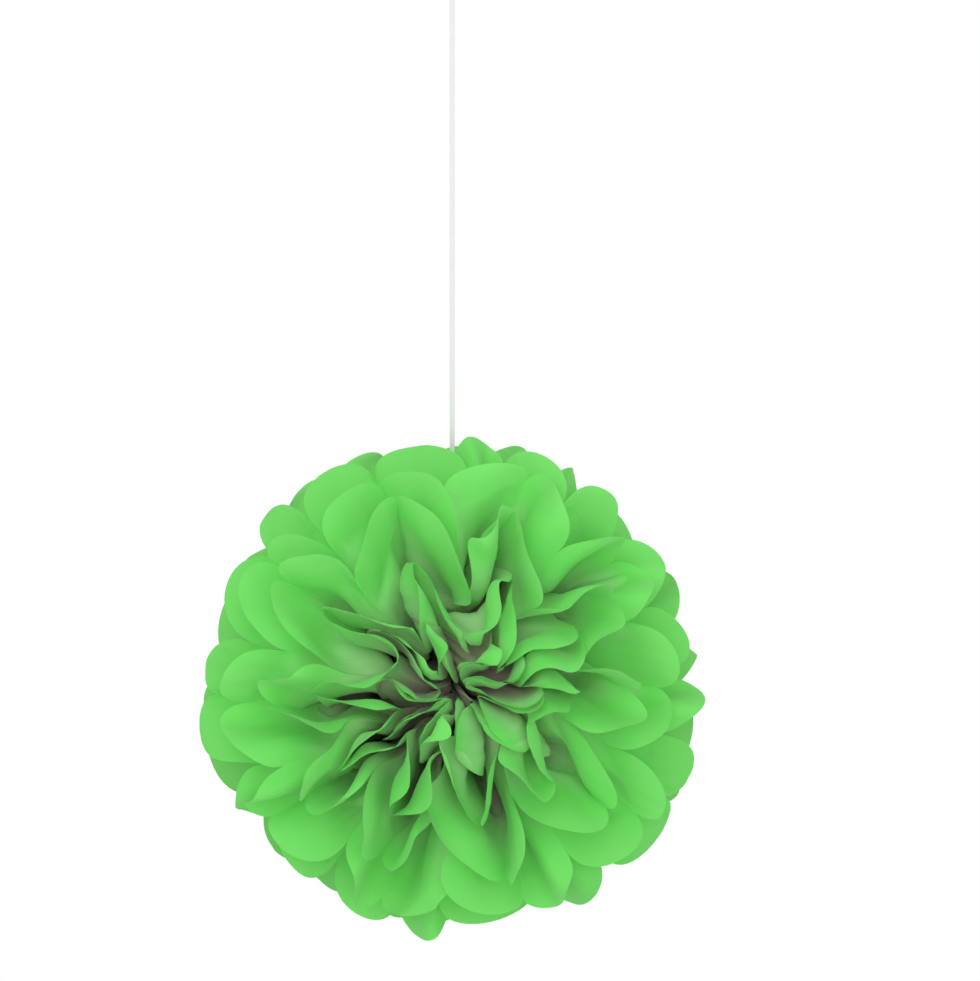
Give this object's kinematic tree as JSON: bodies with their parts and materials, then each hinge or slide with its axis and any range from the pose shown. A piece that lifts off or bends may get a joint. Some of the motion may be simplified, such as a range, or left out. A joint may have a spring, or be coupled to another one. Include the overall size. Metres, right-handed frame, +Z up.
{
  "type": "tissue paper pom pom",
  "caption": "Round fluffed decoration of folded lime green tissue sheets, tied with wire and hung on a narrow white ribbon with a loop.",
  "frame": {"origin": "middle of the paper ball, where the wire ties the folded sheets", "axes": "+Z up along the hanging ribbon, +X along the folded strip to its right half, -Y towards the pole of the ball that faces the viewer"},
  "size_m": [0.3983, 0.3971, 0.7938],
  "materials": {
    "tissue": "matte, thin and slightly translucent",
    "wire": "satin",
    "ribbon": "satin"
  },
  "bodies": {
    "root": {"front_sheet_1": "tissue", "front_sheet_2": "tissue", "front_sheet_3": "tissue", "front_sheet_4": "tissue", "front_sheet_5": "tissue", "back_sheet_1": "tissue", "back_sheet_2": "tissue", "back_sheet_3": "tissue", "back_sheet_4": "tissue", "back_sheet_5": "tissue", "wire_tie": "wire", "hanging_ribbon": "ribbon"}
  },
  "joints": []
}
